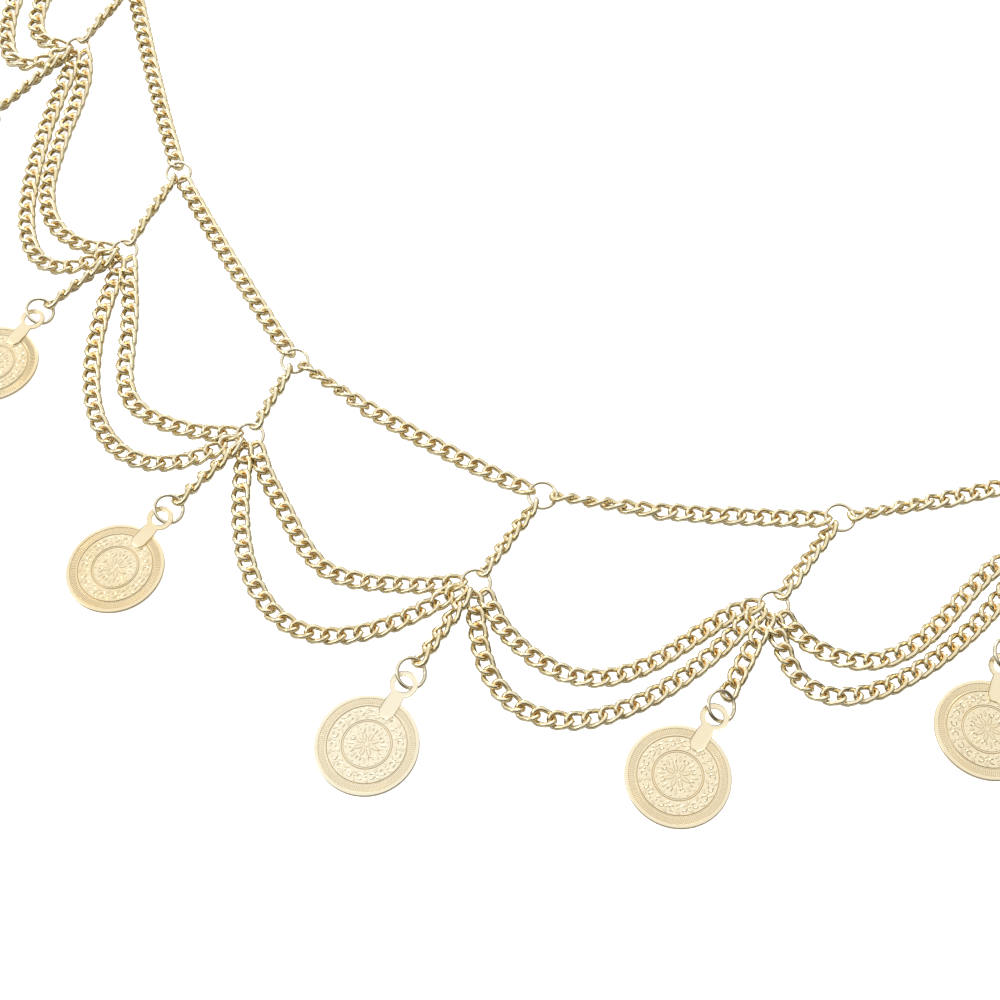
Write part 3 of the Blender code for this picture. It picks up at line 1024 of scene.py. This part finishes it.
@dataclass
class WireHook:
    """The hook: wire bent to an eye, a shank and a bend with a flared tip."""

    wire: float = 1.0
    eye_radius: float = 1.6
    eye_start: float = 55.0
    eye_end: float = 325.0
    neck_radius: float = 2.155
    shank: float = 9.0
    bend_radius: float = 2.0
    tip_at: float = 5.0
    flare_radius: float = 1.6
    flare: float = 35.0
    sides: int = 12
    tilt: float = 4.5
    eye_height: float = 1.45

    def model(self) -> Piece:
        """Model the hook, lying level, with the middle of its eye at the origin."""
        hook = start_circle(self.sides, self.wire / 2, polar(self.eye_start, self.eye_radius),
                            (QUARTER_TURN, 0.0, math.radians(self.eye_start)))
        bend_round(Vector((0.0, 0.0, 0.0)), self.eye_end - self.eye_start, 22)
        heading = self.eye_end + 90.0
        end = polar(self.eye_end, self.eye_radius)
        bend_round(end + polar(heading - 90.0, self.neck_radius), -(heading - 360.0), 6)
        neck_end = end.x + self.neck_radius * math.sin(math.radians(heading - 360.0))
        draw_out(self.shank - neck_end)
        bend_round(Vector((self.shank, self.bend_radius, 0.0)), 180.0, 16)
        draw_out(self.tip_at - self.shank)
        bend_round(Vector((self.tip_at, 2 * self.bend_radius + self.flare_radius, 0.0)), -self.flare, 5)
        bpy.ops.mesh.inset(thickness=0.14, depth=0.1)
        bpy.ops.mesh.inset(thickness=0.14, depth=0.04)
        weld()
        finish_edit(50.0)
        mark(hook, [0.0] * len(hook.data.vertices))
        return hook

    def build(self, finishes: Finishes, route: list[Vector], past_end: float) -> None:
        """Build and dress the hook, its eye through the last link of the left lead.

        Args:
            finishes: the platings.
            route: the lead's route, which runs past the frame's end.
            past_end: how far it runs past.
        """
        master = self.model()
        way = (route[-1] - route[-2]).normalized()
        eye = route[-1] + way * (SEAM_GAP + self.eye_radius + self.wire / 2 - past_end)
        eye.z = self.eye_height
        turned = (Matrix.Rotation(math.atan2(way.y, way.x), 4, "Z")
                  @ Matrix.Rotation(math.radians(self.tilt), 4, "Y"))
        hook = settle(copy_of(master, Matrix.Translation(to_frame(eye)) @ turned), "clasp_hook")
        finishes.dress(hook, Slot.HOOK, "chain", "hook")
        discard(master)


@dataclass
class WaistAndSwags:
    """All the chain: waist, drops, swags, coin chains and leads, and the fastening at their ends."""

    past_hook: float = 1.28
    past_catch: float = 1.18
    end_turned: float = -1.9
    waist_roll: float = -50.0
    waist_turning: float = 5.5
    catch: JumpRing = field(default_factory=lambda: JumpRing(diameter=7.0, wire=0.9, cut=0.3, steps=44))
    catch_height: float = 0.97
    catch_tilt: float = 9.6
    catch_cut: float = 200.0
    right_lead_turned: tuple[float, float] = (1.5, -5.5)

    def chain(self, finishes: Finishes, link: Piece, name: str, node: str,
              lengths: Sequence[ChainLength]) -> None:
        """Build one piece of chain from one or two lengths, and dress it."""
        copies = [copy for length in lengths for copy in length.build(link)]
        piece = settle(join(copies), name)
        finishes.dress(piece, Slot.CHAIN, "chain", node)

    def build(self, finishes: Finishes) -> None:
        """Build every length of chain, then the hook and the catch ring."""
        link, routes = CurbLink().model(), Routes()
        for i, unit in enumerate(UNITS):
            drop = ChainLength(routes.straight(unit.top, unit.swag, 0.0), ON_EDGE, ON_EDGE, 10 + i)
            self.chain(finishes, link, f"drop_links_{unit.name}", f"drop_chain_{unit.name}", [drop])
            turned = unit.coin_chain_turned
            coin = ChainLength(routes.straight(unit.swag, unit.coin, 0.0), turned, turned, 30 + i)
            self.chain(finishes, link, f"coin_links_{unit.name}", f"coin_chain_{unit.name}", [coin])
        for i, (left, right, span) in enumerate(zip(UNITS, UNITS[1:], SPANS)):
            waist = ChainLength(routes.straight(left.top, right.top, span.bow), span.turned_left,
                                span.turned_right, 50 + i, edge_roll=self.waist_roll,
                                turning_links=self.waist_turning)
            self.chain(finishes, link, f"waist_links_{i + 1}", f"waist_chain_{i + 1}", [waist])
            swags = [
                ChainLength(routes.swag(left, right, lane, side), self.end_turned, self.end_turned, seed + i)
                for lane, side, seed in ((OUTER_SWAGS[i], Side.OUTER, 70), (INNER_SWAGS[i], Side.INNER, 90))]
            self.chain(finishes, link, f"swag_links_{i + 1}", f"swag_pair_{i + 1}", swags)
        left_lead = routes.lead(UNITS[0].top, LEFT_LEAD_HEADING, -1, self.past_hook)
        right_lead = routes.lead(UNITS[-1].top, RIGHT_LEAD_HEADING, 1, self.past_catch)
        self.chain(finishes, link, "waist_links_left", "waist_chain_left",
                   [ChainLength(left_lead, self.end_turned, self.end_turned, 110)])
        self.chain(finishes, link, "waist_links_right", "waist_chain_right",
                   [ChainLength(right_lead, *self.right_lead_turned, 111, edge_roll=self.waist_roll,
                                turning_links=self.waist_turning)])
        discard(link)
        WireHook().build(finishes, left_lead, self.past_hook)
        self.build_catch(finishes, right_lead)

    def build_catch(self, finishes: Finishes, route: list[Vector]) -> None:
        """Build the catch ring, raised where it lies on the last link and resting on the table."""
        master = self.catch.model()
        way = (route[-1] - route[-2]).normalized()
        centre = route[-1] + way * (SEAM_GAP + self.catch.diameter / 2 - self.past_catch)
        turn = math.degrees(math.atan2(way.y, way.x)) + 90.0
        ring = Rings().place(master, "catch_ring", (centre.x, centre.y), self.catch_height,
                             self.catch_tilt, turn, self.catch_cut)
        finishes.dress(ring, Slot.RING, "chain", "ring_catch")
        discard(master)


@dataclass
class Studio:
    """The camera at the photo's angle, a pale floor, and soft light from above and behind."""

    camera_height_angle: float = 58.5
    camera_ahead: float = 0.0007
    camera_distance: float = 0.258
    lens: float = 49.03
    floor_size: float = 4.0
    floor_bounce: Colour = (0.76, 0.73, 0.66)
    sky_from: tuple[float, float, float] = (-0.2, 0.5, 0.84)
    sky_stops: tuple[tuple[float, Colour], ...] = (
        (0.0, (0.09, 0.085, 0.07)), (0.24, (0.11, 0.105, 0.085)), (0.40, (0.70, 0.69, 0.66)),
        (0.65, (0.95, 0.95, 0.95)), (1.0, (0.97, 0.97, 0.97)))
    key_place: tuple[float, float, float] = (-0.05, 0.85, 0.45)
    key_size: float = 0.4
    key_power: float = 2.6
    fill_place: tuple[float, float, float] = (-0.7, -0.1, 0.6)
    fill_size: float = 0.3
    fill_power: float = 0.8

    def camera(self) -> None:
        """Place the camera so that it looks at the middle of the photo's plane."""
        angle = math.radians(self.camera_height_angle)
        data = bpy.data.cameras.new("camera")
        data.lens = self.lens
        data.sensor_width = 36.0
        data.clip_start = 0.01
        eye = bpy.data.objects.new("camera", data)
        eye.location = (ORIGIN + Vector((0.0, self.camera_ahead, 0.0))
                        + Vector((0.0, -math.cos(angle), math.sin(angle))) * self.camera_distance)
        eye.rotation_euler = (QUARTER_TURN - angle, 0.0, 0.0)
        bpy.context.scene.collection.objects.link(eye)
        bpy.context.scene.camera = eye

    def floor(self) -> None:
        """Lay the pale floor: it shows white, and gives a softer light to the metal."""
        deselect()
        bpy.ops.mesh.primitive_plane_add(size=self.floor_size, location=(0.0, 0.0, -0.00002))
        floor = bpy.context.object
        floor.name = "floor"
        board = NodeBoard(bpy.data.materials.new("floor_paper"))
        seen = board.add("LightPath").outputs["Is Camera Ray"]
        board.join(board.blend(seen, self.floor_bounce, (0.9, 0.9, 0.9)), board.shader.inputs["Base Color"])
        board.shader.inputs["Roughness"].default_value = 0.9
        board.shader.inputs["Emission Color"].default_value = (1.0, 1.0, 1.0, 1.0)
        board.join(board.spread(seen, 0.0, 1.0), board.shader.inputs["Emission Strength"])
        floor.data.materials.append(board.owner)

    def softbox(self, name: str, off: tuple[float, float, float], size: float, power: float) -> None:
        """Hang a square soft light that points at the table's zero place.

        Args:
            name: the light's name.
            off: where it hangs from there, in metres.
            size: its side, in metres.
            power: its power, in watts.
        """
        data = bpy.data.lights.new(name, "AREA")
        data.shape = "SQUARE"
        data.size = size
        data.energy = power
        light = bpy.data.objects.new(name, data)
        light.location = ORIGIN + Vector(off)
        light.rotation_euler = (ORIGIN - light.location).to_track_quat("-Z", "Y").to_euler()
        bpy.context.scene.collection.objects.link(light)

    def surroundings(self) -> None:
        """Make the room: bright above and behind, dark low in front, so that wire has dark lines."""
        world = bpy.data.worlds.new("studio")
        bpy.context.scene.world = world
        board = NodeBoard(world, "Background")
        facing = board.add("VectorMath", operation="DOT_PRODUCT")
        facing.inputs[1].default_value = Vector(self.sky_from).normalized()
        ramp = board.add("ValToRGB")
        while len(ramp.color_ramp.elements) < len(self.sky_stops):
            ramp.color_ramp.elements.new(0.5)
        for element, (at, colour) in zip(ramp.color_ramp.elements, self.sky_stops):
            element.position = at
            element.color = (*colour, 1.0)
        board.join(board.add("TexCoord").outputs["Generated"], facing.inputs[0])
        board.join(facing.outputs["Value"], ramp.inputs["Fac"])
        seen = board.add("LightPath").outputs["Is Camera Ray"]
        mixed = board.blend(seen, ramp.outputs["Color"], (1.0, 1.0, 1.0))
        board.join(mixed, board.shader.inputs["Color"])

    def build(self) -> None:
        """Set up the camera, the floor and the lights."""
        self.camera()
        self.floor()
        self.surroundings()
        self.softbox("key", self.key_place, self.key_size, self.key_power)
        self.softbox("fill", self.fill_place, self.fill_size, self.fill_power)
        bpy.context.scene.view_settings.view_transform = "Standard"


def main() -> None:
    """Build the studio and every piece of the body chain."""
    logging.basicConfig(level=logging.INFO, format="%(message)s")
    Studio().build()
    finishes = Finishes()
    WaistAndSwags().build(finishes)
    Rings().build(finishes)
    Coins().build(finishes)


if __name__ == "__main__":
    main()
